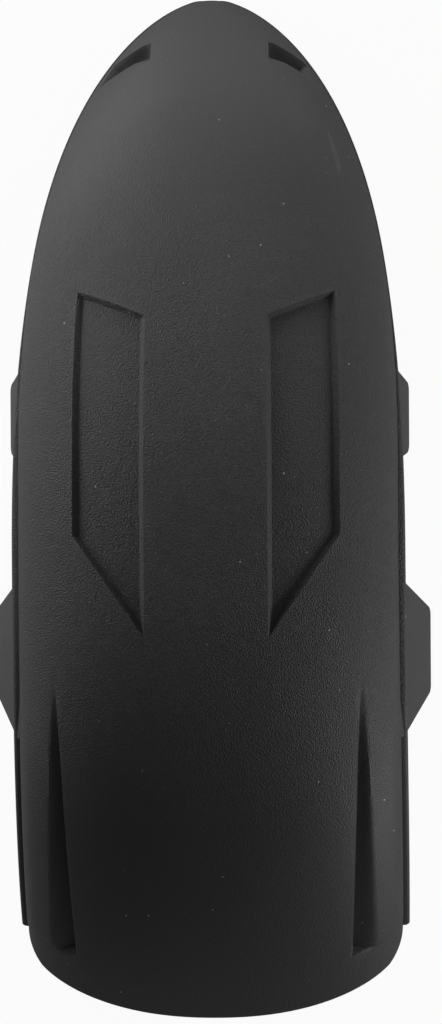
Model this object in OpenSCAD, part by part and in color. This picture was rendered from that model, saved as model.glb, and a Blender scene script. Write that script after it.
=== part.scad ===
// Rear mudguard for a motorcycle: one moulded plastic arch with a rim bead,
// sunken panels, rear flutes and four hanging ears with threaded brass inserts.
// The wheel runs under the arch. +Y points to the nose, +Z points up.

/* [Arch] */
// Radius of the crown line, measured from the wheel's axle
crown_radius = 330; // [290:5:380]
// Crown line from its highest point to the nose tip
nose_length = 300; // [285:1:312]
// Crown line from its highest point to the middle of the rear edge
rear_length = 288.5; // [276:0.5:300]
// Thickness of the moulded wall
wall = 3; // [2.4:0.1:3.6]

/* [Section] */
// Width over the two side walls at mid length
body_width = 184; // [170:1:200]
// Growth of that width at the rear edge
rear_flare = 5; // [0:1:10]
// Height of the crown above the side rims at mid length
arch_depth = 40.5; // [36:0.5:46]
// Height of the crown above the side rims at the rear edge
rear_depth = 39; // [36:0.5:46]
// Squareness of the section, 2 is an ellipse
squareness = 2.4; // [2.2:0.1:2.8]

/* [Nose] */
// Crown length over which the nose narrows from full width
taper_length = 276; // [264:1:288]
// Fullness of the nose outline
taper_fullness = 2.46; // [2.2:0.02:2.7]
// Width of the blunt tip
tip_width = 7; // [5:1:10]
// Slope of the side rims at the tip, in degrees
tip_rim_slope = 24; // [16:1:32]

/* [Rim bead] */
// Width that the bead adds to each side
bead_width = 3.4; // [2:0.2:5]
// Height of the bead
bead_height = 5; // [4:0.5:7]
// Where the bead begins to grow, ahead of the highest point
bead_start = 140; // [120:5:160]
// Where the bead is full, behind the highest point
bead_full = 20; // [0:5:40]

/* [Sunken panels] */
// Depth of the panels
panel_depth = 2.3; // [1:0.1:3]
// Run of the drafted walls around a panel
panel_draft = 2.4; // [1.5:0.1:3.5]
// Inner edge of a panel, as a share of the half width
panel_inner_share = 0.32; // [0.28:0.005:0.35]
// Outer edge of a panel, as a share of the half width
panel_outer_share = 0.695; // [0.66:0.005:0.72]
// Front edge at its outer corner, ahead of the highest point
panel_front_outer = 113; // [100:1:122]
// Front edge at its inner corner, ahead of the highest point
panel_front_inner = 97; // [86:1:106]
// Rear edge at its outer corner, behind the highest point
panel_rear_outer = 10; // [0:1:20]
// Rear edge at its inner tip, behind the highest point
panel_rear_inner = 60; // [50:1:70]

/* [Nose notches] */
// Depth of a notch at its front wall
notch_depth = 5.5; // [3:0.5:7]
// Inner corner of the front wall, from the centre line
notch_inner = 32.5; // [29:0.5:35]
// Front wall at its inner corner, back from the nose tip
notch_front_inner = 32; // [29:1:35]
// Front wall at its outer corner, back from the nose tip
notch_front_outer = 38; // [35:1:42]
// Slope run of the front wall
notch_draft = 4.8; // [4:0.2:7]
// Length over which the floor rises back to the surface
notch_fade = 10; // [8:1:13]

/* [Rear flutes] */
// Depth of a flute at its rear end
flute_depth = 4; // [2:0.2:5]
// Front point of a flute, behind the highest point
flute_start = 86; // [80:1:92]
// Rear end of a flute, behind the highest point
flute_end = 248; // [240:1:254]
// Height of the shoulder step beside the rear end
step_height = 2; // [1:0.2:3]

/* [Rear edge] */
// How far the rear edge bulges past its corners
rear_bulge = 14; // [8:1:18]
// Length of the cut-off corner along the rim
corner_cut = 13; // [10:1:20]

/* [Ears] */
// Thickness of an ear
ear_wall = 3.6; // [3:0.1:4.5]
// Outward slope of the ears, in degrees
ear_flare = 16; // [10:0.5:20]
// Height of the ear root that lies inside the side wall
ear_root = 6; // [4:0.5:8]
// Middle of a rear ear, behind the highest point
rear_ear_pos = 78; // [70:1:84]
// Length of a rear ear at its root
rear_ear_base = 83; // [76:1:90]
// Length of a rear ear at its tip
rear_ear_tip = 42; // [36:1:48]
// Drop of a rear ear below the rim
rear_ear_drop = 63; // [56:1:68]
// Middle of a front ear, ahead of the highest point
front_ear_pos = 54; // [48:1:60]
// Length of a front ear at its root
front_ear_base = 48; // [44:1:54]
// Length of a front ear at its tip
front_ear_tip = 34; // [28:1:38]
// Drop of a front ear below the rim
front_ear_drop = 28.5; // [25:0.5:32]
// Corner radius of the ears
ear_corner = 5; // [3:0.5:7]

/* [Threaded inserts] */
// Bore of an insert, the core of an M6 thread
insert_bore = 5; // [4:0.1:5.6]
// Outside diameter of an insert
insert_od = 8; // [7.4:0.1:9]
// Length of an insert
insert_length = 8; // [7:0.5:10]
// Wall of the boss around an insert
boss_wall = 3; // [2.5:0.1:4]
// Boss of a rear ear, below the rim
rear_boss_drop = 42; // [34:1:46]
// Boss of a front ear, below the rim
front_boss_drop = 15; // [14:0.5:17]

/* [Hidden] */
DEG = 180 / PI;
half_body = body_width / 2;
tip_half = tip_width / 2;
// How fast the section's depth follows the nose's taper
DEPTH_TAPER = 1.5;
// Shares of the half width where the notches end, and where the rear edge's corners are
NOTCH_OUTER_SHARE = 0.94;
CORNER_SHARE = 0.93;
// The crown stretch over which the panels' outer line swings in to the notches
notch_blend = [2 * nose_length / 3, 4 * nose_length / 5];
NOTCH_SPREAD_SHARES = [0.01, 0.035, 0.07];
// A panel's drafts never take more than these shares, even where the guard is narrow
DRAFT_SHARE_LIMITS = [0.05, 0.08];
// A flute's inner edge, valley and outer edge, as shares of the half width
FLUTE_START_SHARES = [0.788, 0.8, 0.812];
FLUTE_END_SHARES = [0.73, 0.785, 0.84];
// A flute deepens quickly at first, and its shoulder is full a third of the way back
FLUTE_GROWTH = 0.7;
SHOULDER_GROWTH = 3;
// Run of the step behind the shoulders, and its slant from flute to rim
step_run = 1.5 * step_height;
step_slant = step_run / 3;
// Share of the bead that is there at the nose
BEAD_AT_NOSE = 0.12;
// Steps for reading the surface's direction: slope in degrees, and length along the crown
SLOPE_STEP = 0.4;
CROWN_STEP = 0.5;
// Ear plates lie this far inside the side wall's face
ear_inset = wall / 3;
CORNER_STEPS = 5;
// Plastic behind an insert, and the depth of the insert's waist
SEAT_BACK = 2;
INSERT_WAIST = 0.6;

function lerp(a, b, t) = a + (b - a) * t;
function clamp01(t) = max(0, min(1, t));
function smooth(t) = let (c = clamp01(t)) c * c * (3 - 2 * c);
function unit(v) = v / norm(v);

// The plain arch. v runs along the crown, positive ahead of the highest point.
tip_share = pow(tip_half / half_body, 2);
tip_lead = taper_length * (1 - pow(1 - tip_share, 1 / taper_fullness));
function taper(v) =
  let (d = clamp01((nose_length + tip_lead - v) / taper_length))
  sqrt(1 - pow(1 - d, taper_fullness));
function rear_share(v) = smooth(-v / rear_length);
function half_width(v) = half_body * taper(v) + rear_flare / 2 * rear_share(v);
function depth(v) = lerp(arch_depth, rear_depth, rear_share(v)) * pow(taper(v), DEPTH_TAPER);
function rim_slope(v) = lerp(tip_rim_slope, 90, pow(taper(v), 2));
function slope_at(v, u) = asin(pow(abs(u), squareness / 2) * sin(rim_slope(v))) * sign(u);
function arch_point(v, slope) =
  let (
    limit = rim_slope(v),
    u = pow(abs(sin(slope)) / sin(limit), 2 / squareness) * sign(slope),
    r = crown_radius - depth(v) * (1 - cos(slope)) / (1 - cos(limit)),
    turn = v / crown_radius * DEG
  )
  [half_width(v) * u, r * sin(turn), r * cos(turn)];
function arch_normal(v, slope) =
  unit(cross(
    arch_point(v, slope + SLOPE_STEP) - arch_point(v, slope - SLOPE_STEP),
    arch_point(v + CROWN_STEP, slope) - arch_point(v - CROWN_STEP, slope)
  ));

// Lines across the arch, each [share in, v in, share out, v out, bulge].
// A line slants between its two shares, and a bulge bows it to the rear.
notch_v_in = nose_length - notch_front_inner;
notch_v_out = nose_length - notch_front_outer;
notch_share_in = notch_inner / half_width(notch_v_in);
corner_v = rear_bulge - rear_length;
CROSS_LINES = [
  [0, nose_length, 1, nose_length, 0],
  [notch_share_in, notch_v_in, NOTCH_OUTER_SHARE, notch_v_out, 0],
  [notch_share_in, notch_v_in - notch_draft, NOTCH_OUTER_SHARE, notch_v_out - notch_draft, 0],
  [notch_share_in, notch_v_in - notch_draft - notch_fade,
    NOTCH_OUTER_SHARE, notch_v_out - notch_draft - notch_fade, 0],
  [panel_inner_share, panel_front_inner, panel_outer_share, panel_front_outer, 0],
  [panel_inner_share, panel_front_inner - panel_draft,
    panel_outer_share, panel_front_outer - panel_draft, 0],
  [panel_inner_share, 2 * panel_draft - panel_rear_inner,
    panel_outer_share, panel_draft - panel_rear_outer, 0],
  [panel_inner_share, -panel_rear_inner, panel_outer_share, -panel_rear_outer, 0],
  [FLUTE_END_SHARES[0], -flute_end, CORNER_SHARE, step_slant - flute_end, 0],
  [FLUTE_END_SHARES[0], -flute_end - step_run, CORNER_SHARE, step_slant - step_run - flute_end, 0],
  [CORNER_SHARE, corner_v, 1, corner_v + corner_cut, rear_bulge]
];
CROSS_STEPS = [7, 1, 2, 12, 1, 10, 1, 12, 1, 4];
// The rear edge's line, seen from the side, falls straight from its corner to the rim.
function wall_height(u) = sqrt(max(0, 1 - pow(abs(u), squareness)));
function cross_line(line, u) =
  line[4] == 0 ? lerp(line[1], line[3], clamp01((abs(u) - line[0]) / (line[2] - line[0])))
  : lerp(line[3], line[1], min(1, wall_height(u) / wall_height(line[0])))
    - line[4] * max(0, 1 - pow(abs(u) / line[0], 2));
function v_at(g, u) =
  let (i = min(floor(g), len(CROSS_LINES) - 2))
  lerp(cross_line(CROSS_LINES[i], u), cross_line(CROSS_LINES[i + 1], u), g - i);

// Lines along the arch, as shares of the half width. From the middle out they are the
// crown, a panel's inner and outer walls, the flute's three lines, the notch's end and the rim.
FIRST_FLUTE_LINE = 5;
NOTCH_END_LINE = 8;
RIM_LINE = 9;
function flute_share(v) = clamp01((-flute_start - v) / (flute_end - flute_start));
function side_line(h, v) =
  let (
    w = half_width(v),
    draft = panel_draft / w,
    near_nose = smooth((v - notch_blend[0]) / (notch_blend[1] - notch_blend[0])),
    nose_outer = min(notch_inner / w, FLUTE_START_SHARES[0] - draft / 2),
    outer = lerp(panel_outer_share, nose_outer, near_nose),
    k = h - FIRST_FLUTE_LINE
  )
  h == 0 ? 0
  : h == 1 ? panel_inner_share
  : h == 2 ? panel_inner_share + min(draft, DRAFT_SHARE_LIMITS[0])
  : h == 3 ? outer - min(draft, DRAFT_SHARE_LIMITS[1])
  : h == 4 ? outer
  : h == RIM_LINE ? 1
  : h == NOTCH_END_LINE ? NOTCH_OUTER_SHARE
  : lerp(FLUTE_START_SHARES[k], FLUTE_END_SHARES[k], flute_share(v))
    + near_nose * NOTCH_SPREAD_SHARES[k];
SIDE_STEPS = [3, 1, 3, 1, 1, 1, 1, 2, 3];
function u_at(h, g) =
  let (
    v = v_at(g, FLUTE_START_SHARES[1]),
    i = min(floor(h), NOTCH_END_LINE),
    t = i == NOTCH_END_LINE ? 1 - pow(RIM_LINE - h, 2) : h - i
  )
  lerp(side_line(i, v), side_line(i + 1, v), t);

// Depth of the surface's features below the plain arch. Each one rises and falls
// between two lines across, counted by g, and two lines along, counted by h.
function ramp(x, a, b) = clamp01((x - a) / (b - a));
function feature_depth(g, h, v) =
  let (
    s = flute_share(v),
    panel = min(ramp(g, 4, 5), ramp(g, 7, 6), ramp(h, 1, 2), ramp(h, 4, 3)),
    notch = min(ramp(g, 1, 2), ramp(g, 3, 2), ramp(h, 3, 4), ramp(h, 8, 7)),
    flute = min(ramp(h, 5, 6), ramp(h, 7, 6), ramp(g, 9, 8)) * pow(s, FLUTE_GROWTH),
    shoulder = min(ramp(h, 6, 7), ramp(h, 9, 8), ramp(g, 9, 8)) * smooth(SHOULDER_GROWTH * s)
  )
  panel_depth * panel + notch_depth * notch + flute_depth * flute - step_height * shoulder;

// The bead's section, [out, down] as shares of its width and height
BEAD_SHARES = [[0.62, 0.14], [1, 0.42], [1, 0.78], [0.7, 1]];
function bead_share(v) = lerp(BEAD_AT_NOSE, 1, smooth((bead_start - v) / (bead_start + bead_full)));

function steps(counts) =
  [for (i = [0:len(counts) - 1]) for (k = [0:counts[i] - 1]) i + k / counts[i], len(counts)];
ROWS = steps(CROSS_STEPS);
SIDE = steps(SIDE_STEPS);
// Column positions from the left bead to the right bead: side position, then bead point
COLUMNS = concat(
  [for (k = [len(BEAD_SHARES) - 1:-1:0]) [-RIM_LINE, k]],
  [for (i = [len(SIDE) - 1:-1:1]) [-SIDE[i], -1]],
  [for (h = SIDE) [h, -1]],
  [for (k = [0:len(BEAD_SHARES) - 1]) [RIM_LINE, k]]
);
// A point of the shell, on its outer face or one wall inside it
function shell_point(g, column, inside) =
  let (
    side = column[0] < 0 ? -1 : 1,
    h = abs(column[0]),
    u = u_at(h, g),
    v = v_at(g, u),
    slope = slope_at(v, u) * side,
    normal = arch_normal(v, slope),
    skin = arch_point(v, slope) - feature_depth(g, h, v) * normal,
    down = unit(arch_point(v, slope) - arch_point(v, slope - side)),
    bead = column[1] < 0 ? [0, 0] : BEAD_SHARES[column[1]] * bead_share(v)
  )
  skin + (inside ? -wall : bead[0] * bead_width) * normal + bead[1] * bead_height * down;

raw_points = concat(
  [for (g = ROWS) for (c = COLUMNS) shell_point(g, c, false)],
  [for (g = ROWS) for (c = COLUMNS) shell_point(g, c, true)]
);
// The frame: centred along its length, standing on its lowest points
rest_shift = [
  0,
  -(max([for (p = raw_points) p[1]]) + min([for (p = raw_points) p[1]])) / 2,
  -min([for (p = raw_points) p[2]])
];
across = len(COLUMNS);
along = len(ROWS);
face_count = across * along;
function quad(a, b, c, d) = [[a, b, c], [a, c, d]];
shell_faces = concat(
  [for (i = [0:along - 2]) for (j = [0:across - 2]) let (a = i * across + j)
    each quad(a, a + 1, a + across + 1, a + across)],
  [for (i = [0:along - 2]) for (j = [0:across - 2]) let (a = face_count + i * across + j)
    each quad(a, a + across, a + across + 1, a + 1)],
  [for (i = [0:along - 2]) let (a = i * across, b = a + face_count)
    each quad(a, a + across, b + across, b)],
  [for (i = [0:along - 2]) let (a = (i + 1) * across - 1, b = a + face_count)
    each quad(a, b, b + across, a + across)],
  [for (j = [0:across - 2]) let (a = j, b = a + face_count)
    each quad(a, b, b + 1, a + 1)],
  [for (j = [0:across - 2]) let (a = (along - 1) * across + j, b = a + face_count)
    each quad(a, a + 1, b + 1, b)]
);

// Ears. Each is a flat plate in the plane of its root, sloping outwards as it hangs.
// An ear is [middle, length at its root, length at its tip, drop, drop of its boss].
rear_ear = [-rear_ear_pos, rear_ear_base, rear_ear_tip, rear_ear_drop, rear_boss_drop];
front_ear = [front_ear_pos, front_ear_base, front_ear_tip, front_ear_drop, front_boss_drop];
function rim_y(v) = (crown_radius - depth(v)) * sin(v / crown_radius * DEG);
function rim_z(v) = (crown_radius - depth(v)) * cos(v / crown_radius * DEG);
function ear_x(ear) =
  min(half_width(ear[0] - ear[1] / 2), half_width(ear[0] + ear[1] / 2)) - ear_inset;
// Height of the rim some way along from an ear's middle, measured in the ear's own plane
function rim_rise(ear, way) =
  let (r = crown_radius - depth(ear[0]), y = rim_y(ear[0]) + way)
  (sqrt(r * r - y * y) - rim_z(ear[0])) / cos(ear_flare);
// A polygon's corner rounded to a radius
function round_corner(before, corner, after, r) =
  let (
    a = unit(before - corner),
    b = unit(after - corner),
    half = acos(a * b) / 2,
    middle = corner + unit(a + b) * r / sin(half),
    start = middle - corner - a * r / tan(half),
    stop = middle - corner - b * r / tan(half)
  )
  [for (k = [0:CORNER_STEPS]) middle - unit(lerp(start, stop, k / CORNER_STEPS)) * r];

module ear_outline(ear) {
  root = ear[1] / 2;
  tip = ear[2] / 2;
  fall = ear[3] / cos(ear_flare);
  front_rim = [root, rim_rise(ear, root)];
  rear_rim = [-root, rim_rise(ear, -root)];
  front_tip = [tip, -fall];
  rear_tip = [-tip, -fall];
  polygon(concat(
    [rear_rim + [0, ear_root], front_rim + [0, ear_root], front_rim],
    round_corner(front_rim, front_tip, rear_tip, ear_corner),
    round_corner(front_tip, rear_tip, rear_rim, ear_corner),
    [rear_rim]
  ));
}

// Frame of the right-hand ear: +X along the arch, +Y up the plate, +Z inwards
module ear_frame(ear) {
  translate(rest_shift + [ear_x(ear), rim_y(ear[0]), rim_z(ear[0])])
    rotate([0, -ear_flare, 0])
      rotate([90, 0, -90])
        mirror([1, 0, 0])
          children();
}

module insert_seat(ear) {
  ear_frame(ear)
    translate([0, -ear[4] / cos(ear_flare), SEAT_BACK])
      children();
}

// The insert's half section, with a waist that the plastic grips
module insert_section(bore) {
  r = insert_od / 2;
  waist = r - INSERT_WAIST;
  third = insert_length / 3;
  polygon([
    [bore, 0], [r, 0], [r, third], [waist, third],
    [waist, 2 * third], [r, 2 * third], [r, insert_length], [bore, insert_length]
  ]);
}

module right_ear(ear) {
  difference() {
    union() {
      ear_frame(ear) linear_extrude(ear_wall) ear_outline(ear);
      insert_seat(ear)
        translate([0, 0, -SEAT_BACK])
          cylinder(r = insert_od / 2 + boss_wall, h = insert_length + SEAT_BACK, $fn = 48);
    }
    insert_seat(ear) rotate_extrude($fn = 48) insert_section(0);
  }
}

module both_sides() {
  children();
  mirror([1, 0, 0]) children();
}

module mudguard_shell() {
  color("#2b2b2e") {
    translate(rest_shift) polyhedron(raw_points, shell_faces);
    both_sides() {
      right_ear(rear_ear);
      right_ear(front_ear);
    }
  }
}

module threaded_inserts() {
  color("#b8923f")
    both_sides()
      for (ear = [rear_ear, front_ear])
        insert_seat(ear) rotate_extrude($fn = 48) insert_section(insert_bore / 2);
}

mudguard_shell();
threaded_inserts();
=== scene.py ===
"""Studio picture of a moulded motorcycle mudguard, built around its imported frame.

The guard's own sizes are in millimetres, because its form follows the same driving
dimensions as the solid does, and they become metres where a mesh is made. Lamps,
camera and floor are in metres.
"""

import math

import bmesh
import bpy
import numpy as np
from mathutils import Matrix, Vector

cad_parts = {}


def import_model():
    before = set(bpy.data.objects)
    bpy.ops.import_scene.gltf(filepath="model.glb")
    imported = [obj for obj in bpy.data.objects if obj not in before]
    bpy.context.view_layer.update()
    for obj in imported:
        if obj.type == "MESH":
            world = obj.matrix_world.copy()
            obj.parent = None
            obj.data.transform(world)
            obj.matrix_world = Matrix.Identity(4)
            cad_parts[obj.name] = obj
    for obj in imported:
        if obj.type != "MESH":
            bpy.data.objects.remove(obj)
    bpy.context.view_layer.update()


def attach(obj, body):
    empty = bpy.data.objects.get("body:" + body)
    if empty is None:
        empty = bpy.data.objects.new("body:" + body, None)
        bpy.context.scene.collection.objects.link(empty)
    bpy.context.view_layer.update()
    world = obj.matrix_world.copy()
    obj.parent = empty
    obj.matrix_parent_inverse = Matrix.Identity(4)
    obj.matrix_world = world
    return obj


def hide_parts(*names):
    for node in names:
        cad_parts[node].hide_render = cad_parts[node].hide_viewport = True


MM = 0.001

# Arch
CROWN_RADIUS = 330.0
NOSE_LENGTH = 300.0
REAR_LENGTH = 288.5
WALL = 3.0
BODY_WIDTH = 184.0
REAR_FLARE = 5.0
ARCH_DEPTH = 40.5
REAR_DEPTH = 39.0
SQUARENESS = 2.4

# Nose
TAPER_LENGTH = 276.0
TAPER_FULLNESS = 2.46
TIP_WIDTH = 7.0
TIP_RIM_SLOPE = 24.0

# Rim bead
BEAD_WIDTH = 3.4
BEAD_HEIGHT = 5.0
BEAD_AT_NOSE = 0.12
BEAD_STARTS = 140.0
BEAD_FULL = -20.0
BEAD_FOOT = 0.55

# Sunken panels
PANEL_DEPTH = 2.3
PANEL_DRAFT = 2.4
PANEL_INNER = 0.32
PANEL_OUTER = 0.695
PANEL_FRONT_OUTER = 113.0
PANEL_FRONT_INNER = 97.0
PANEL_REAR_OUTER = 10.0
PANEL_REAR_INNER = 60.0

# Nose notches
NOTCH_DEPTH = 5.5
NOTCH_INNER = 32.5
NOTCH_FRONT_INNER = 32.0
NOTCH_FRONT_OUTER = 38.0
NOTCH_DRAFT = 4.8
NOTCH_FADE = 10.0
NOTCH_OUTER = 0.94
NOTCH_BLEND = (200.0, 240.0)
NOTCH_SPREAD = (0.01, 0.035, 0.07)

# Rear flutes and the step behind their shoulders
FLUTE_DEPTH = 4.0
FLUTE_START = 86.0
FLUTE_END = 248.0
FLUTE_START_SHARES = (0.786, 0.794, 0.812)
FLUTE_END_SHARES = (0.722, 0.75, 0.85)
STEP_HEIGHT = 2.0
STEP_RUN = 3.0
STEP_SLANT = 1.0

# Rear edge
REAR_BULGE = 14.0
CORNER_CUT = 13.0
CORNER_SHARE = 0.93

# Ears, each as middle along the arch, root length, tip length, drop and boss drop
EAR_WALL = 3.6
EAR_FLARE = math.radians(16.0)
EAR_ROOT = 6.0
EAR_INSET = WALL / 3
EAR_CORNER = 5.0
EAR_CORNER_STEPS = 8
EAR_BEVEL = 1.2
REAR_EAR = (-78.0, 83.0, 42.0, 63.0, 42.0)
FRONT_EAR = (54.0, 48.0, 34.0, 28.5, 15.0)
EARS = (REAR_EAR, FRONT_EAR)

# Threaded inserts and the bosses round them
INSERT_OD = 8.0
INSERT_LENGTH = 8.0
INSERT_BORE = 5.0
INSERT_WAIST = 0.6
BOSS_WALL = 3.0
BOSS_ROUND = 0.9
BOSS_FILLET = 1.4
SEAT_BACK = 2.0
THREAD_PITCH = 1.0
THREAD_DEPTH = 0.5
THREAD_STEPS = 10
TURN_STEPS = 64

# How far the shell's mesh edges round over, and the steps of that turn
EDGE_ROUND = 0.8
EDGE_STEPS = 3

# Mesh steps between the lines across the arch and along it
CROSS_STEPS = (30, 6, 10, 48, 6, 50, 6, 56, 6, 14)
SIDE_STEPS = (10, 5, 14, 5, 4, 6, 6, 8, 14)
BEAD_STEPS = 9

# Scratches over the crown in millimetres, each a thin arc: centre x, y, radius and the x
# that it runs between
SCRATCHES = (
    (-20.0, -300.0, 401.0, -8.4, 2.2),
    (15.7, 137.0, 32.9, 20.5, 41.5),
    (-7.0, 30.0, 102.0, -14.0, -2.0),
    (60.0, 40.0, 118.0, -46.0, -36.0),
)
SCRATCH_HALF_WIDTH = 0.16

# Each arc lies on the side of its centre that faces this y
SCRATCH_SIDE = 90.0

# Where along the guard the grain goes from worn to full, in metres
GRAIN_FADES_REAR = (-0.16, -0.04)
GRAIN_FADES_NOSE = (0.20, 0.12)

WHITE = (1.0, 1.0, 1.0, 1.0)
DUST_COLOUR = (0.42, 0.41, 0.40, 1.0)
DUST_COVER = 0.7

# Camera, from the photograph's 442 x 1024 frame
VIEW_TARGET = (0.0055, -0.0024, 0.0611)
VIEW_LEAN = 0.030
VIEW_PITCH = 0.0041
VIEW_TURN = -0.0052
VIEW_DISTANCE = 2.004
VIEW_LENS = 143.6
SENSOR_HEIGHT = 36.0

# Lamp panels, each as name, place, size and watts
LAMP_AIM = (0.0, 0.0, 0.06)
LAMPS = (
    ("nose_strip", (0.0, 0.8, 0.06), (1.0, 0.1), 1.7),
    ("left_nose_panel", (-0.8, 0.8, 0.3), (0.8, 0.4), 7.2),
    ("right_nose_panel", (0.8, 0.8, 0.3), (0.8, 0.4), 1.8),
    ("left_side_panel", (-0.9, 0.3, 0.2), (0.8, 0.3), 3.8),
    ("right_side_panel", (0.9, -0.28, 0.2), (1.0, 0.3), 5.8),
    ("top_panel", (0.0, 0.2, 2.6), (1.6, 1.6), 3.8),
)

# Half the studio floor's side
FLOOR_REACH = 4.0


def lerp(a, b, t):
    return a + (b - a) * t


def clamp01(t):
    return np.clip(t, 0.0, 1.0)


def smooth(t):
    t = clamp01(t)
    return t * t * (3.0 - 2.0 * t)


def unit(vectors):
    return vectors / np.linalg.norm(vectors, axis=-1, keepdims=True)


# The plain arch, where v runs along the crown and is positive ahead of its top


def taper(v):
    tip_share = (TIP_WIDTH / BODY_WIDTH) ** 2
    lead = TAPER_LENGTH * (1.0 - (1.0 - tip_share) ** (1.0 / TAPER_FULLNESS))
    back = clamp01((NOSE_LENGTH + lead - v) / TAPER_LENGTH)
    return np.sqrt(1.0 - (1.0 - back) ** TAPER_FULLNESS)


def rear_share(v):
    return smooth(-v / REAR_LENGTH)


def half_width(v):
    return BODY_WIDTH / 2 * taper(v) + REAR_FLARE / 2 * rear_share(v)


def arch_depth(v):
    return lerp(ARCH_DEPTH, REAR_DEPTH, rear_share(v)) * taper(v) ** 1.5


def rim_slope(v):
    return np.radians(lerp(TIP_RIM_SLOPE, 90.0, taper(v) ** 2))


def slope_at(v, u):
    return np.arcsin(np.abs(u) ** (SQUARENESS / 2) * np.sin(rim_slope(v))) * np.sign(u)


def arch_point(v, slope):
    limit = rim_slope(v)
    u = (np.abs(np.sin(slope)) / np.sin(limit)) ** (2 / SQUARENESS) * np.sign(slope)
    drop = arch_depth(v) * (1.0 - np.cos(slope)) / (1.0 - np.cos(limit))
    r = CROWN_RADIUS - drop
    turn = v / CROWN_RADIUS
    return np.stack([half_width(v) * u, r * np.sin(turn), r * np.cos(turn)], axis=-1)


def arch_normal(v, slope):
    lean = math.radians(0.4)
    across = arch_point(v, slope + lean) - arch_point(v, slope - lean)
    along = arch_point(v + 0.5, slope) - arch_point(v - 0.5, slope)
    return unit(np.cross(across, along))


# Lines across the arch, each as share in, v in, share out, v out and bulge


def cross_lines():
    notch_in = NOSE_LENGTH - NOTCH_FRONT_INNER
    notch_out = NOSE_LENGTH - NOTCH_FRONT_OUTER
    notch_share = NOTCH_INNER / half_width(notch_in)
    notch_lines = [
        [notch_share, notch_in - back, NOTCH_OUTER, notch_out - back, 0.0]
        for back in (0.0, NOTCH_DRAFT, NOTCH_DRAFT + NOTCH_FADE)
    ]
    front = (PANEL_FRONT_INNER, PANEL_FRONT_OUTER)
    rear = (-PANEL_REAR_INNER, -PANEL_REAR_OUTER)
    panel_lines = [
        [PANEL_INNER, inner, PANEL_OUTER, outer, 0.0]
        for inner, outer in (
            front,
            (front[0] - PANEL_DRAFT, front[1] - PANEL_DRAFT),
            (rear[0] + 2 * PANEL_DRAFT, rear[1] + PANEL_DRAFT),
            rear,
        )
    ]
    step_lines = [
        [FLUTE_END_SHARES[0], -FLUTE_END - back, CORNER_SHARE, STEP_SLANT - FLUTE_END - back, 0.0]
        for back in (0.0, STEP_RUN)
    ]
    corner = REAR_BULGE - REAR_LENGTH
    return np.array(
        [[0.0, NOSE_LENGTH, 1.0, NOSE_LENGTH, 0.0]]
        + notch_lines
        + panel_lines
        + step_lines
        + [[CORNER_SHARE, corner, 1.0, corner + CORNER_CUT, REAR_BULGE]]
    )


LINES = cross_lines()


def wall_height(u):
    return np.sqrt(np.maximum(0.0, 1.0 - np.abs(u) ** SQUARENESS))


def cross_line(index, u):
    """A line's place; the bowed rear edge falls straight to the rim, seen from the side."""
    share_in, v_in, share_out, v_out, bulge = np.moveaxis(LINES[index], -1, 0)
    slant = clamp01((np.abs(u) - share_in) / (share_out - share_in))
    corner = 1.0 - np.minimum(1.0, wall_height(u) / wall_height(CORNER_SHARE))
    reach = np.where(bulge > 0, share_in, 1.0)
    bow = bulge * np.maximum(0.0, 1.0 - (np.abs(u) / reach) ** 2)
    return lerp(v_in, v_out, np.where(bulge > 0, corner, slant)) - bow


def v_at(g, u):
    index = np.minimum(np.floor(g).astype(int), len(LINES) - 2)
    return lerp(cross_line(index, u), cross_line(index + 1, u), g - index)


# Lines along the arch, as shares of the half width


def flute_share(v):
    return clamp01((-FLUTE_START - v) / (FLUTE_END - FLUTE_START))


def side_lines(v):
    w = half_width(v)
    draft = PANEL_DRAFT / w
    near_nose = smooth((v - NOTCH_BLEND[0]) / (NOTCH_BLEND[1] - NOTCH_BLEND[0]))
    notch_share = np.minimum(NOTCH_INNER / w, FLUTE_START_SHARES[0] - draft / 2)
    outer = lerp(PANEL_OUTER, notch_share, near_nose)
    share = flute_share(v)
    flutes = [
        lerp(start, end, share) + near_nose * spread
        for start, end, spread in zip(FLUTE_START_SHARES, FLUTE_END_SHARES, NOTCH_SPREAD)
    ]
    zero = np.zeros_like(v)
    return np.stack(
        [
            zero,
            zero + PANEL_INNER,
            PANEL_INNER + np.minimum(draft, 0.05),
            outer - np.minimum(draft, 0.08),
            outer,
            *flutes,
            zero + NOTCH_OUTER,
            zero + 1.0,
        ]
    )


def u_at(h, g):
    lines = side_lines(v_at(g, np.full_like(g, FLUTE_START_SHARES[1])))
    last = len(lines) - 2
    index = np.minimum(np.floor(h).astype(int), last)
    t = np.where(index == last, 1.0 - (last + 1 - h) ** 2, h - index)
    low = np.take_along_axis(lines, index[None], axis=0)[0]
    high = np.take_along_axis(lines, (index + 1)[None], axis=0)[0]
    return lerp(low, high, t)


def ramp(x, start, end):
    """A drafted wall from start to end, with its two edges eased."""
    t = clamp01((x - start) / (end - start))
    return lerp(t, smooth(t), 0.3)


def least(*shares):
    return np.minimum.reduce(shares)


def feature_depth(g, h, v):
    """How far panels, notches and flutes sink below the plain arch, less the shoulders."""
    share = flute_share(v)
    panel = least(ramp(g, 4, 5), ramp(g, 7, 6), ramp(h, 1, 2), ramp(h, 4, 3))
    notch = least(ramp(g, 1, 2), ramp(g, 3, 2), ramp(h, 3, 4), ramp(h, 8, 7))
    flute = least(ramp(h, 5, 6), ramp(h, 7, 6), ramp(g, 9, 8)) * share**0.7
    shoulder = least(ramp(h, 6, 7), ramp(h, 9, 8), ramp(g, 9, 8)) * smooth(3 * share)
    sunk = PANEL_DEPTH * panel + NOTCH_DEPTH * notch + FLUTE_DEPTH * flute
    return sunk - STEP_HEIGHT * shoulder


# The shell's grid: rows across the arch and columns along it


def spread_steps(counts):
    stations = [i + k / n for i, n in enumerate(counts) for k in range(n)]
    return np.array(stations + [float(len(counts))])


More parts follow.
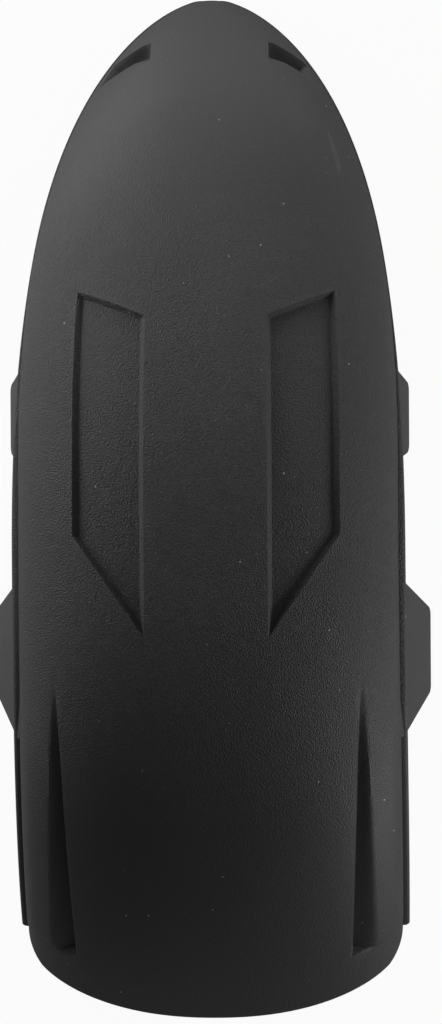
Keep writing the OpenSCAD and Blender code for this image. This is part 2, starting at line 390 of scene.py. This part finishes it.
def row_table():
    """Each row's line position, its way in from a rounded end, and how far it has sunk."""
    turns = np.linspace(0.0, math.pi / 2, EDGE_STEPS + 1)
    inset = 1.0 - np.cos(turns)
    sunk = 1.0 - np.sin(turns)
    middle = spread_steps(CROSS_STEPS)[1:-1]
    none = np.zeros(len(middle))
    first = np.zeros(len(turns))
    g = np.concatenate([first, middle, first + len(CROSS_STEPS)])
    way_in = np.concatenate([inset, none, -inset[::-1]])
    sink = np.concatenate([sunk, none, sunk[::-1]])
    return g, way_in, sink


def bead_profile():
    """The bead's section below the side wall: shares out and down, and the inner lift."""
    down = (1.0 - np.cos(np.arange(1, BEAD_STEPS + 1) / BEAD_STEPS * math.pi)) / 2
    swell = (1.0 - np.abs(1.0 - 2.0 * down) ** 3) ** (1 / 3)
    out = np.where(down < 0.5, swell, lerp(BEAD_FOOT, 1.0, swell))
    foot = clamp01((down - 0.84) / 0.16)
    return np.stack([out, down, 1.0 - np.sqrt(1.0 - foot**2)], axis=-1)


def column_table():
    """Each column's line position, side, and bead shares, from left rim to right rim."""
    side = spread_steps(SIDE_STEPS)
    bead = bead_profile()
    h = np.concatenate([side, np.full(len(bead), side[-1])])
    shares = np.concatenate([np.zeros((len(side), 3)), bead])
    hand = np.concatenate([-np.ones(len(h) - 1), np.ones(len(h))])
    return np.concatenate([h[:0:-1], h]), hand, np.concatenate([shares[:0:-1], shares])


def end_spans(u):
    """Crown lengths between the first two lines across the arch and the last two."""
    last = len(LINES) - 1
    nose = cross_line(0, u) - cross_line(1, u)
    rear = cross_line(last - 1, u) - cross_line(last, u)
    return nose, rear


def shell_grids(rounding):
    """The shell's outer and inner faces, as rows and columns of points."""
    row_g, way_in, sink = row_table()
    col_h, hand, shares = column_table()
    base_g, h = np.meshgrid(row_g, col_h, indexing="ij")
    nose, rear = end_spans(u_at(h, base_g))
    front_half = base_g < len(CROSS_STEPS) / 2
    span = np.where(front_half, nose, rear)
    steps = np.where(front_half, CROSS_STEPS[0], CROSS_STEPS[-1])
    radius = np.minimum(rounding, 0.8 * span / steps)
    g = base_g + way_in[:, None] * radius / span
    u = u_at(h, g)
    v = v_at(g, u)
    slope = slope_at(v, u) * hand
    normal = arch_normal(v, slope)
    base = arch_point(v, slope)
    down = unit(base - arch_point(v, slope - math.radians(1.0) * hand))
    grown = lerp(BEAD_AT_NOSE, 1.0, smooth((BEAD_STARTS - v) / (BEAD_STARTS - BEAD_FULL)))
    drop = shares[:, 1] * grown * BEAD_HEIGHT
    sunk = sink[:, None] * radius
    out = shares[:, 0] * grown * BEAD_WIDTH - sunk
    inner = shares[:, 2] * rounding + sunk - WALL
    skin = base - feature_depth(g, h, v)[..., None] * normal + drop[..., None] * down
    return skin + out[..., None] * normal, skin + inner[..., None] * normal


def resting_shift():
    """Centres the shell along its length and stands it on its lowest points."""
    points = np.concatenate([face.reshape(-1, 3) for face in shell_grids(0.0)])
    middle = (points[:, 1].max() + points[:, 1].min()) / 2
    return np.array([0.0, -middle, -points[:, 2].min()])


def quads(grid):
    corners = [grid[:-1, :-1], grid[:-1, 1:], grid[1:, 1:], grid[1:, :-1]]
    return np.stack(corners, axis=-1).reshape(-1, 4)


def object_from(name, points, faces):
    """A mesh object from points in millimetres, with its faces turned outwards."""
    mesh = bpy.data.meshes.new(name)
    mesh.from_pydata((np.asarray(points) * MM).tolist(), [], [list(f) for f in faces])
    piece = bpy.data.objects.new(name, mesh)
    bpy.context.scene.collection.objects.link(piece)
    bm = bmesh.new()
    bm.from_mesh(mesh)
    bmesh.ops.recalc_face_normals(bm, faces=bm.faces)
    bm.to_mesh(mesh)
    bm.free()
    return piece


def moulded_skin(shift):
    outer, inner = shell_grids(EDGE_ROUND)
    rows, columns = outer.shape[:2]
    index = np.arange(2 * rows * columns).reshape(2, rows, columns)
    ring = np.concatenate(
        [
            index[:, 0, :],
            index[:, 1:, -1],
            index[:, -1, -2::-1],
            index[:, -2::-1, 0],
        ],
        axis=1,
    )
    faces = np.concatenate([quads(index[0]), quads(index[1]), quads(ring)])
    points = np.concatenate([outer.reshape(-1, 3), inner.reshape(-1, 3)]) + shift
    return object_from("guard_shell", points, faces.tolist())


# Ears, bosses and inserts


def ear_frame(ear, side, shift):
    """Origin and axes of an ear: along the arch, up the plate and inwards."""
    middle, base = ear[:2]
    r = CROWN_RADIUS - arch_depth(np.array(middle))
    ends = half_width(np.array([middle - base / 2, middle + base / 2]))
    turn = middle / CROWN_RADIUS
    origin = np.array([ends.min() - EAR_INSET, r * math.sin(turn), r * math.cos(turn)])
    lean, rise = math.sin(EAR_FLARE), math.cos(EAR_FLARE)
    axes = np.array([[0.0, 1.0, 0.0], [-lean, 0.0, rise], [-rise, 0.0, -lean]])
    flip = np.array([side, 1.0, 1.0])
    return (origin + shift) * flip, axes * flip


def round_corner(before, corner, after, radius):
    a = unit(before - corner)
    b = unit(after - corner)
    half = math.acos(a @ b) / 2
    middle = corner + unit(a + b) * radius / math.sin(half)
    start = middle - corner - a * radius / math.tan(half)
    stop = middle - corner - b * radius / math.tan(half)
    shares = np.linspace(0.0, 1.0, EAR_CORNER_STEPS + 1)[:, None]
    return middle - unit(lerp(start, stop, shares)) * radius


def rim_rise(ear, way):
    """Height of the rim some way along from an ear's middle, in the ear's own plane."""
    r = CROWN_RADIUS - arch_depth(np.array(ear[0]))
    turn = ear[0] / CROWN_RADIUS
    y = r * math.sin(turn) + way
    return (math.sqrt(r * r - y * y) - r * math.cos(turn)) / math.cos(EAR_FLARE)


def ear_outline(ear):
    root, tip = ear[1] / 2, ear[2] / 2
    fall = ear[3] / math.cos(EAR_FLARE)
    front_rim = np.array([root, rim_rise(ear, root)])
    rear_rim = np.array([-root, rim_rise(ear, -root)])
    front_tip, rear_tip = np.array([tip, -fall]), np.array([-tip, -fall])
    buried = np.array([0.0, EAR_ROOT])
    return np.concatenate(
        [
            [rear_rim + buried, front_rim + buried, front_rim],
            round_corner(front_rim, front_tip, rear_tip, EAR_CORNER),
            round_corner(front_tip, rear_tip, rear_rim, EAR_CORNER),
            [rear_rim],
        ]
    )


def rim_line(ear):
    """The rim beside an ear, as ways along and heights in the ear's plane."""
    ways = np.linspace(-ear[1] / 2, ear[1] / 2, 9)
    return ways, [rim_rise(ear, way) for way in ways]


def placed(local, frame):
    origin, axes = frame
    return origin + np.asarray(local) @ axes


def bevel_edges(piece, width, steps):
    """Rounds every sharp edge of a plate."""
    bm = bmesh.new()
    bm.from_mesh(piece.data)
    sharp = [e for e in bm.edges if e.calc_face_angle(0.0) > math.radians(60)]
    bmesh.ops.bevel(
        bm,
        geom=sharp,
        offset=width * MM,
        offset_type="OFFSET",
        segments=steps,
        profile=0.5,
        affect="EDGES",
        clamp_overlap=True,
    )
    bm.to_mesh(piece.data)
    bm.free()


def ear_plate(ear, frame):
    outline = ear_outline(ear)
    count = len(outline)
    layers = [np.column_stack([outline, np.full(count, z)]) for z in (0.0, EAR_WALL)]
    index = np.arange(2 * count).reshape(2, count)
    around = np.concatenate([index, index[:, :1]], axis=1)
    faces = quads(around).tolist() + [index[0].tolist(), index[1].tolist()]
    plate = object_from("ear_plate", placed(np.concatenate(layers), frame), faces)
    bevel_edges(plate, EAR_BEVEL, 3)
    return plate


def turned(name, profile, drop, frame):
    """A solid of revolution about the boss's axis, from radius and height pairs."""
    angles = np.arange(TURN_STEPS) / TURN_STEPS * 2 * math.pi
    circle = np.stack([np.cos(angles), np.sin(angles)], axis=-1)
    profile = np.asarray(profile)
    rings = profile[:, None, :1] * circle
    heights = np.broadcast_to(profile[:, None, 1:], (len(profile), TURN_STEPS, 1))
    local = np.concatenate([rings, heights], axis=-1).reshape(-1, 3)
    local[:, 1] -= drop / math.cos(EAR_FLARE)
    index = np.arange(len(local)).reshape(len(profile), TURN_STEPS)
    around = np.concatenate([index, index[:, :1]], axis=1)
    faces = quads(around).tolist() + [index[0].tolist(), index[-1].tolist()]
    return object_from(name, placed(local, frame), faces)


def boss_profile():
    """A boss with a fillet at its foot and a rounded rim."""
    r = INSERT_OD / 2 + BOSS_WALL
    top = SEAT_BACK + INSERT_LENGTH
    turns = np.linspace(0.0, math.pi / 2, 6)
    foot = [
        [r + BOSS_FILLET * (1 - math.sin(a)), EAR_WALL + BOSS_FILLET * (1 - math.cos(a))]
        for a in turns
    ]
    rim = [
        [r - BOSS_ROUND * (1 - math.cos(a)), top - BOSS_ROUND * (1 - math.sin(a))]
        for a in turns
    ]
    return [[r + BOSS_FILLET, EAR_WALL / 2]] + foot + rim


def seat_profile():
    r = INSERT_OD / 2
    return [[r, SEAT_BACK], [r, SEAT_BACK + INSERT_LENGTH + EAR_WALL]]


def shape_with(piece, tools, operation):
    """Joins tools to a piece, or cuts them out of it, as closed solids."""
    for tool in tools:
        step = piece.modifiers.new(tool.name, "BOOLEAN")
        step.object = tool
        step.operation = operation
        step.solver = "MANIFOLD"
    ready = piece.evaluated_get(bpy.context.evaluated_depsgraph_get())
    mesh = bpy.data.meshes.new_from_object(ready)
    piece.modifiers.clear()
    piece.data = mesh
    for tool in tools:
        bpy.data.objects.remove(tool)


def ear_faces(mesh, frames):
    """Marks the faces that lie on an ear, below the bead or on a boss."""
    centres = np.empty(len(mesh.polygons) * 3)
    mesh.polygons.foreach_get("center", centres)
    centres = centres.reshape(-1, 3) / MM
    found = np.zeros(len(centres), bool)
    for ear, (origin, axes) in frames:
        x, y, z = ((centres - origin) @ axes.T).T
        below = y - np.interp(x, *rim_line(ear))
        high = (below < -BEAD_HEIGHT - 0.2) & (y > -ear[3] - 10.0)
        wide = np.abs(x) < ear[1] / 2 + 2.0
        thick = (z > -1.0) & (z < SEAT_BACK + INSERT_LENGTH + 1.0)
        found |= high & wide & thick
    return found


def shade_smooth(piece, angle):
    piece.data.shade_smooth()
    piece.data.set_sharp_from_angle(angle=math.radians(angle))


def guard_shell(shift, frames, group):
    shell = moulded_skin(shift)
    plates = [ear_plate(ear, frame) for ear, frame in frames]
    bosses = [turned("boss", boss_profile(), ear[4], frame) for ear, frame in frames]
    seats = [turned("seat", seat_profile(), ear[4], frame) for ear, frame in frames]
    shape_with(shell, plates + bosses, "UNION")
    shape_with(shell, seats, "DIFFERENCE")
    shade_smooth(shell, 32)
    shell.data.materials.clear()
    shell.data.materials.append(grained_plastic(group))
    shell.data.materials.append(ear_plastic(group))
    slots = ear_faces(shell.data, frames).astype(np.int32)
    shell.data.polygons.foreach_set("material_index", slots)
    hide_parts("mudguard_shell")
    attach(shell, "root")
    return shell


def insert_rings():
    """Radius and height of each ring of an insert: up the thread, over and back down."""
    r = INSERT_OD / 2
    third = INSERT_LENGTH / 3
    chamfer = 0.3
    angles = np.arange(TURN_STEPS) / TURN_STEPS
    count = int(INSERT_LENGTH / THREAD_PITCH) * THREAD_STEPS
    heights = np.linspace(0.0, INSERT_LENGTH, count + 1)
    phase = (heights[:, None] / THREAD_PITCH - angles) % 1.0
    crest = clamp01((1.0 - np.abs(2.0 * phase - 1.0)) * 1.3 - 0.1)
    bore = INSERT_BORE / 2 + THREAD_DEPTH * crest
    mouth = INSERT_BORE / 2 + THREAD_DEPTH + chamfer
    bore = np.maximum(bore, (mouth - (INSERT_LENGTH - heights))[:, None])
    outside = [
        [r - chamfer, INSERT_LENGTH],
        [r, INSERT_LENGTH - chamfer],
        [r, 2 * third],
        [r - INSERT_WAIST, 2 * third],
        [r - INSERT_WAIST, third],
        [r, third],
        [r, 0.0],
    ]
    radii = np.concatenate([bore, [[p[0]] * TURN_STEPS for p in outside]])
    return radii, np.concatenate([heights, [p[1] for p in outside]])


def threaded_inserts(frames, group):
    radii, heights = insert_rings()
    angles = np.arange(TURN_STEPS) / TURN_STEPS * 2 * math.pi
    index = np.arange(radii.size).reshape(radii.shape)
    around = np.concatenate([index, index[:, :1]], axis=1)
    closed = quads(np.concatenate([around, around[:1]]))
    points, faces = [], []
    for number, (ear, frame) in enumerate(frames):
        x = radii * np.cos(angles)
        y = radii * np.sin(angles) - ear[4] / math.cos(EAR_FLARE)
        z = np.broadcast_to(heights[:, None] + SEAT_BACK, radii.shape)
        points.append(placed(np.stack([x, y, z], axis=-1).reshape(-1, 3), frame))
        faces.append(closed + number * radii.size)
    inserts = object_from("brass_inserts", np.concatenate(points), np.concatenate(faces).tolist())
    shade_smooth(inserts, 40)
    inserts.data.materials.append(turned_brass(group))
    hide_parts("threaded_inserts")
    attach(inserts, "root")
    return inserts


# Node helpers


def add(tree, kind, inputs=None, **settings):
    """Adds a node; an input may be given a value or another node's output."""
    node = tree.nodes.new(kind)
    for name, value in settings.items():
        setattr(node, name, value)
    for name, value in (inputs or {}).items():
        if isinstance(value, bpy.types.NodeSocket):
            tree.links.new(value, node.inputs[name])
        else:
            node.inputs[name].default_value = value
    return node


def maths(tree, operation, first, second=0.0, third=0.0):
    inputs = {0: first, 1: second, 2: third}
    return add(tree, "ShaderNodeMath", inputs, operation=operation).outputs[0]


def remap(tree, value, low, high, start=0.0, end=1.0):
    inputs = {"Value": value, "From Min": low, "From Max": high, "To Min": start, "To Max": end}
    return add(tree, "ShaderNodeMapRange", inputs).outputs[0]


def blend(tree, share, first, second):
    """A colour between two others."""
    inputs = {0: share, 6: first, 7: second}
    return add(tree, "ShaderNodeMix", inputs, data_type="RGBA").outputs[2]


def place(tree):
    return add(tree, "ShaderNodeTexCoord").outputs["Object"]


def noise(tree, scale, detail=2.0, roughness=0.5):
    inputs = {"Vector": place(tree), "Scale": scale, "Detail": detail, "Roughness": roughness}
    return add(tree, "ShaderNodeTexNoise", inputs).outputs[0]


def effect(name, inputs, output):
    """A shader node group with float inputs and one float output."""
    tree = bpy.data.node_groups.new(name, "ShaderNodeTree")
    for label, value in inputs.items():
        socket = tree.interface.new_socket(label, in_out="INPUT", socket_type="NodeSocketFloat")
        socket.default_value = value
    tree.interface.new_socket(output, in_out="OUTPUT", socket_type="NodeSocketFloat")
    values = tree.nodes.new("NodeGroupInput").outputs
    return tree, values, tree.nodes.new("NodeGroupOutput").inputs[0]


def use(tree, group, **inputs):
    """Places an effect in a material with the material's own values."""
    return add(tree, "ShaderNodeGroup", inputs, node_tree=group).outputs[0]


# Effects shared by the finishes


def pebble_grain():
    """Fine rounded grain pressed into the plastic by the mould, worn flatter at both ends."""
    inputs = {"scale": 1650.0, "softness": 0.5, "worn": 0.25}
    tree, values, out = effect("pebble grain", inputs, "height")
    cells = add(tree, "ShaderNodeTexVoronoi", feature="SMOOTH_F1")
    tree.links.new(place(tree), cells.inputs["Vector"])
    tree.links.new(values["scale"], cells.inputs["Scale"])
    tree.links.new(values["softness"], cells.inputs["Smoothness"])
    wander = noise(tree, 1200.0, 2.0, 0.6)
    height = maths(tree, "MULTIPLY_ADD", cells.outputs["Distance"], -0.8, wander)
    along = add(tree, "ShaderNodeSeparateXYZ", {"Vector": place(tree)}).outputs["Y"]
    rear, nose = (remap(tree, along, *span) for span in (GRAIN_FADES_REAR, GRAIN_FADES_NOSE))
    worn = remap(tree, maths(tree, "MULTIPLY", rear, nose), 0.0, 1.0, values["worn"])
    tree.links.new(maths(tree, "MULTIPLY", height, worn), out)
    return tree


def edge_rub():
    """Painted highlight along raised edges, paler where they would catch the light, with some rub
    wear.
    """
    tree, values, out = effect("edge highlight and wear", {"from": 0.51, "to": 0.58}, "mask")
    edge = add(tree, "ShaderNodeNewGeometry").outputs["Pointiness"]
    paler_edge = remap(tree, edge, values["from"], values["to"])
    broken = remap(tree, noise(tree, 160.0, 3.0), 0.3, 0.62, 0.45, 1.0)
    tree.links.new(maths(tree, "MULTIPLY", paler_edge, broken), out)
    return tree


def dust_specks():
    """Small pale specks of dust, a few of them larger."""
    tree, values, out = effect("dust specks", {"scale": 190.0, "size": 0.10, "share": 0.13}, "mask")
    cells = add(tree, "ShaderNodeTexVoronoi", {"Vector": place(tree), "Scale": values["scale"]})
    pick = add(tree, "ShaderNodeSeparateColor", {"Color": cells.outputs["Color"]})
    radius = maths(tree, "MULTIPLY", values["size"], remap(tree, pick.outputs[1], 0.0, 1.0, 0.3))
    near = maths(tree, "LESS_THAN", cells.outputs["Distance"], radius)
    chosen = maths(tree, "LESS_THAN", pick.outputs[0], values["share"])
    tree.links.new(maths(tree, "MULTIPLY", near, chosen), out)
    return tree


def crown_scratches():
    """Thin broken arcs scratched into the crown."""
    tree, values, out = effect("crown scratches", {"half width": SCRATCH_HALF_WIDTH}, "mask")
    axes = add(tree, "ShaderNodeSeparateXYZ", {"Vector": place(tree)}).outputs
    x, y = (maths(tree, "MULTIPLY", axes[i], 1000.0) for i in (0, 1))
    found = 0.0
    for centre_x, centre_y, radius, low_x, high_x in SCRATCHES:
        from_x = maths(tree, "SUBTRACT", x, centre_x)
        from_y = maths(tree, "SUBTRACT", y, centre_y)
        square_y = maths(tree, "MULTIPLY", from_y, from_y)
        squares = maths(tree, "MULTIPLY_ADD", from_x, from_x, square_y)
        off = maths(tree, "ABSOLUTE", maths(tree, "SUBTRACT", maths(tree, "SQRT", squares), radius))
        on_line = remap(tree, off, values["half width"], 0.0)
        span = (high_x - low_x) / 2
        from_middle = maths(tree, "ABSOLUTE", maths(tree, "SUBTRACT", x, (low_x + high_x) / 2))
        on_line = maths(tree, "MULTIPLY", on_line, remap(tree, from_middle, span, 0.6 * span))
        facing = maths(tree, "MULTIPLY", from_y, SCRATCH_SIDE - centre_y)
        side = maths(tree, "GREATER_THAN", facing, 0.0)
        found = maths(tree, "MAXIMUM", found, maths(tree, "MULTIPLY", on_line, side))
    broken = remap(tree, noise(tree, 420.0), 0.35, 0.6)
    tree.links.new(maths(tree, "MULTIPLY", found, broken), out)
    return tree


def cloudy_tone():
    """Slow cloudy change over the surface, as handling leaves it."""
    tree, values, out = effect("cloudy tone", {"scale": 14.0}, "tone")
    tree.links.new(noise(tree, values["scale"], 5.0, 0.55), out)
    return tree


def effects():
    makers = (pebble_grain, edge_rub, dust_specks, crown_scratches, cloudy_tone)
    return {maker.__name__: maker() for maker in makers}


def empty_material(name):
    material = bpy.data.materials.new(name)
    material.use_nodes = True
    tree = material.node_tree
    tree.nodes.clear()
    return material, tree


def finish_surface(tree, inputs):
    shader = add(tree, "ShaderNodeBsdfPrincipled", inputs)
    output = tree.nodes.new("ShaderNodeOutputMaterial")
    tree.links.new(shader.outputs[0], output.inputs["Surface"])


# Finishes


def grained_plastic(group):
    """Black moulded plastic with a fine pebble grain."""
    material, tree = empty_material("grained_black_plastic")
    tone = use(tree, group["cloudy_tone"], scale=14.0)
    rub = use(tree, group["edge_rub"])
    dust = use(tree, group["dust_specks"])
    scratch = use(tree, group["crown_scratches"])
    grain = use(tree, group["pebble_grain"])
    plain = blend(tree, tone, (0.018, 0.018, 0.019, 1.0), (0.027, 0.027, 0.028, 1.0))
    base = blend(tree, remap(tree, grain, 0.0, 0.35), plain, (0.040, 0.040, 0.041, 1.0))
    # Convex edges painted paler: a painted highlight where edges catch light, with some rub wear
    with_edge_highlight = blend(tree, maths(tree, "MULTIPLY", rub, 0.35), base, (0.10, 0.10, 0.10, 1.0))
    marked = blend(tree, maths(tree, "MULTIPLY", scratch, 0.6), with_edge_highlight, (0.16, 0.16, 0.16, 1.0))
    colour = blend(tree, maths(tree, "MULTIPLY", dust, DUST_COVER), marked, DUST_COLOUR)
    bump = {"Strength": 1.0, "Distance": 0.0006, "Height": grain}
    finish_surface(
        tree,
        {
            "Base Color": colour,
            "Roughness": remap(tree, tone, 0.3, 0.7, 0.50, 0.58),
            "Normal": add(tree, "ShaderNodeBump", bump).outputs[0],
        },
    )
    return material


def ear_plastic(group):
    """The same plastic with a smooth satin face, as the ears have it."""
    material, tree = empty_material("satin_black_plastic")
    tone = use(tree, group["cloudy_tone"], scale=30.0)
    rub = use(tree, group["edge_rub"])
    dust = use(tree, group["dust_specks"], share=0.15)
    base = blend(tree, tone, (0.022, 0.022, 0.023, 1.0), (0.030, 0.030, 0.030, 1.0))
    # Convex edges painted paler: a painted highlight where edges catch light, with some rub wear
    with_edge_highlight = blend(tree, maths(tree, "MULTIPLY", rub, 0.4), base, (0.12, 0.12, 0.12, 1.0))
    colour = blend(tree, maths(tree, "MULTIPLY", dust, DUST_COVER), with_edge_highlight, DUST_COLOUR)
    bump = {"Strength": 0.6, "Distance": 0.00002, "Height": noise(tree, 2600.0, 1.0)}
    finish_surface(
        tree,
        {
            "Base Color": colour,
            "Roughness": remap(tree, tone, 0.3, 0.7, 0.44, 0.52),
            "Normal": add(tree, "ShaderNodeBump", bump).outputs[0],
        },
    )
    return material


def turned_brass(group):
    """Machined brass with a fine noise bump, cloudy in tone and roughness."""
    material, tree = empty_material("turned_brass")
    tone = use(tree, group["cloudy_tone"], scale=240.0)
    rub = use(tree, group["edge_rub"])
    base = blend(tree, tone, (0.50, 0.33, 0.12, 1.0), (0.74, 0.54, 0.24, 1.0))
    # Convex edges and thread crests painted paler: a painted highlight, with some rub wear
    colour = blend(tree, maths(tree, "MULTIPLY", rub, 0.5), base, (0.92, 0.76, 0.42, 1.0))
    bump = {"Strength": 0.4, "Distance": 0.00001, "Height": noise(tree, 5200.0)}
    finish_surface(
        tree,
        {
            "Base Color": colour,
            "Metallic": 1.0,
            "Roughness": remap(tree, tone, 0.3, 0.7, 0.24, 0.42),
            "Normal": add(tree, "ShaderNodeBump", bump).outputs[0],
        },
    )
    return material


# Studio


def seen_white(tree, kind, lit, share):
    """Mixes a lit surface or sky towards plain white for what the camera sees directly."""
    ray = add(tree, "ShaderNodeLightPath").outputs["Is Camera Ray"]
    white = add(tree, kind, {"Color": WHITE, "Strength": 1.0})
    seen = maths(tree, "MULTIPLY", ray, share)
    return add(tree, "ShaderNodeMixShader", {0: seen, 1: lit, 2: white.outputs[0]}).outputs[0]


def studio_floor():
    mesh = bpy.data.meshes.new("studio_floor")
    r = FLOOR_REACH
    mesh.from_pydata([(-r, -r, 0), (r, -r, 0), (r, r, 0), (-r, r, 0)], [], [(0, 1, 2, 3)])
    floor = bpy.data.objects.new("studio_floor", mesh)
    bpy.context.scene.collection.objects.link(floor)
    material, tree = empty_material("pale_floor")
    lit = add(tree, "ShaderNodeBsdfDiffuse", {"Color": (0.72, 0.72, 0.72, 1.0)}).outputs[0]
    output = tree.nodes.new("ShaderNodeOutputMaterial")
    tree.links.new(seen_white(tree, "ShaderNodeEmission", lit, 0.95), output.inputs["Surface"])
    mesh.materials.append(material)


def studio_world():
    world = bpy.data.worlds.new("studio")
    bpy.context.scene.world = world
    world.use_nodes = True
    tree = world.node_tree
    tree.nodes.clear()
    soft = {"Color": WHITE, "Strength": 0.08}
    lit = add(tree, "ShaderNodeBackground", soft).outputs[0]
    output = tree.nodes.new("ShaderNodeOutputWorld")
    tree.links.new(seen_white(tree, "ShaderNodeBackground", lit, 1.0), output.inputs["Surface"])


def soft_box(name, where, size, power):
    """A rectangular lamp panel aimed at the guard."""
    lamp = bpy.data.lights.new(name, "AREA")
    lamp.shape = "RECTANGLE"
    lamp.size, lamp.size_y = size
    lamp.energy = power
    panel = bpy.data.objects.new(name, lamp)
    bpy.context.scene.collection.objects.link(panel)
    panel.visible_camera = False
    panel.location = where
    panel.rotation_euler = (Vector(LAMP_AIM) - Vector(where)).to_track_quat("-Z", "Y").to_euler()


def studio_lamps():
    for lamp in LAMPS:
        soft_box(*lamp)


def photo_camera():
    data = bpy.data.cameras.new("photo_camera")
    data.sensor_fit = "VERTICAL"
    data.sensor_height = SENSOR_HEIGHT
    data.lens = VIEW_LENS
    camera = bpy.data.objects.new("photo_camera", data)
    bpy.context.scene.collection.objects.link(camera)
    level = math.cos(VIEW_PITCH)
    back = Vector((math.sin(VIEW_LEAN) * level, -math.sin(VIEW_PITCH), math.cos(VIEW_LEAN) * level))
    right = Vector((-math.sin(VIEW_TURN), math.cos(VIEW_TURN), 0.0)).cross(back).normalized()
    up = back.cross(right)
    where = Vector(VIEW_TARGET) + back * VIEW_DISTANCE
    turn = Matrix((right, up, back)).transposed().to_4x4()
    camera.matrix_world = Matrix.Translation(where) @ turn
    bpy.context.scene.camera = camera


def main():
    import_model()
    bpy.context.scene.view_settings.view_transform = "Standard"
    shift = resting_shift()
    frames = [(ear, ear_frame(ear, side, shift)) for ear in EARS for side in (1.0, -1.0)]
    group = effects()
    guard_shell(shift, frames, group)
    threaded_inserts(frames, group)
    studio_floor()
    studio_world()
    studio_lamps()
    photo_camera()


main()
